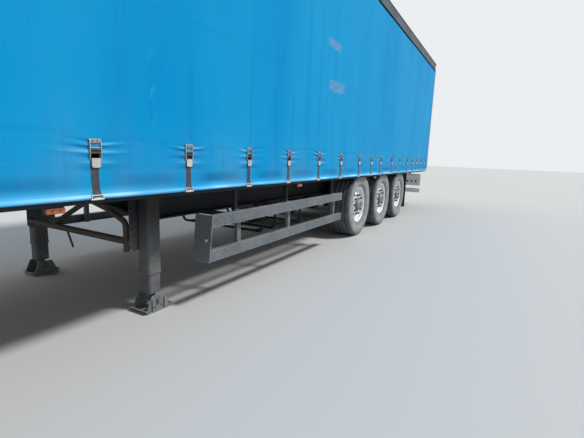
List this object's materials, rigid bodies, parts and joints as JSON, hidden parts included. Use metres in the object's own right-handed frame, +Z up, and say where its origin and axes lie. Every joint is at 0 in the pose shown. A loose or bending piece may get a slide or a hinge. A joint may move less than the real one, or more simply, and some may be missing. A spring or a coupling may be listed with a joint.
{
  "type": "semi trailer",
  "caption": "Curtain-sided semi trailer parked on its landing legs, with turning wheels and swinging rear doors.",
  "frame": {"origin": "on the ground under the middle of the trailer's length and width", "axes": "+X to the front end, +Y to the trailer's left, +Z up"},
  "size_m": [13.6, 2.5806, 3.9998],
  "materials": {
    "chassis_paint": "dusty dark grey paint",
    "leg_paint": "dusty grey paint",
    "guard_steel": "dusty grey paint",
    "worn_steel": "worn, greased steel",
    "pale_paint": "weathered light grey paint",
    "anodised_rail": "weathered anodised",
    "roof_cover": "coated cover",
    "zinc": "zinc plated",
    "plywood": "film-faced plywood",
    "blue_curtain": "coated fabric",
    "black_rubber": "rubber",
    "black_plastic": "moulded plastic",
    "lamp_lens": "red lens",
    "amber_lens": "amber lens",
    "tyre": "dusty tread rubber",
    "silver_wheel": "silver paint"
  },
  "bodies": {
    "trailer": {"main_beams": "chassis_paint", "cross_members": "chassis_paint", "side_raves": "chassis_paint", "floor_deck": "plywood", "coupling_plate": "worn_steel", "kingpin": "worn_steel", "front_wall": "pale_paint", "rear_frame": "pale_paint", "cantrails": "anodised_rail", "roof_skin": "roof_cover", "roof_bows": "zinc", "side_pillars": "zinc", "side_slats": "anodised_rail", "curtain_left": "blue_curtain", "curtain_right": "blue_curtain", "buckles_left": "zinc", "buckles_right": "zinc", "leg_tubes": "leg_paint", "leg_brackets": "chassis_paint", "leg_sliders": "leg_paint", "leg_feet": "leg_paint", "leg_bracing": "chassis_paint", "leg_gear": "chassis_paint", "side_guards": "guard_steel", "guard_hangers": "chassis_paint", "axle_beams": "chassis_paint", "spring_hangers": "chassis_paint", "trailing_arms": "chassis_paint", "air_springs": "black_rubber", "brake_chambers": "chassis_paint", "mudguards": "black_plastic", "mudflaps": "black_rubber", "mudflap_arms": "chassis_paint", "underrun_bar": "chassis_paint", "lamp_plates": "zinc", "rear_lamps": "lamp_lens", "side_markers": "amber_lens", "air_tanks": "chassis_paint", "spare_basket": "chassis_paint", "coupling_board": "black_plastic"},
    "road_wheel_1_left": {"tyre_1_left": "tyre", "wheel_1_left": "silver_wheel"},
    "road_wheel_1_right": {"tyre_1_right": "tyre", "wheel_1_right": "silver_wheel"},
    "road_wheel_2_left": {"tyre_2_left": "tyre", "wheel_2_left": "silver_wheel"},
    "road_wheel_2_right": {"tyre_2_right": "tyre", "wheel_2_right": "silver_wheel"},
    "road_wheel_3_left": {"tyre_3_left": "tyre", "wheel_3_left": "silver_wheel"},
    "road_wheel_3_right": {"tyre_3_right": "tyre", "wheel_3_right": "silver_wheel"},
    "door_leaf_left": {"door_left": "pale_paint", "lock_bars_left": "zinc"},
    "door_leaf_right": {"door_right": "pale_paint", "lock_bars_right": "zinc"}
  },
  "joints": [
    {"name": "wheel_1_left_spin", "type": "hinge", "parent": "trailer", "child": "road_wheel_1_left", "pos_m": [-1.2, 1.032, 0.535], "axis": [0, 1, 0], "continuous": true},
    {"name": "wheel_1_right_spin", "type": "hinge", "parent": "trailer", "child": "road_wheel_1_right", "pos_m": [-1.2, -1.032, 0.535], "axis": [0, 1, 0], "continuous": true},
    {"name": "wheel_2_left_spin", "type": "hinge", "parent": "trailer", "child": "road_wheel_2_left", "pos_m": [-2.51, 1.032, 0.535], "axis": [0, 1, 0], "continuous": true},
    {"name": "wheel_2_right_spin", "type": "hinge", "parent": "trailer", "child": "road_wheel_2_right", "pos_m": [-2.51, -1.032, 0.535], "axis": [0, 1, 0], "continuous": true},
    {"name": "wheel_3_left_spin", "type": "hinge", "parent": "trailer", "child": "road_wheel_3_left", "pos_m": [-3.82, 1.032, 0.535], "axis": [0, 1, 0], "continuous": true},
    {"name": "wheel_3_right_spin", "type": "hinge", "parent": "trailer", "child": "road_wheel_3_right", "pos_m": [-3.82, -1.032, 0.535], "axis": [0, 1, 0], "continuous": true},
    {"name": "door_left_swing", "type": "hinge", "parent": "trailer", "child": "door_leaf_left", "pos_m": [-6.787, 1.272, 2.5], "axis": [0, 0, -1], "range_deg": [0, 265]},
    {"name": "door_right_swing", "type": "hinge", "parent": "trailer", "child": "door_leaf_right", "pos_m": [-6.787, -1.272, 2.5], "axis": [0, 0, 1], "range_deg": [0, 265]}
  ]
}
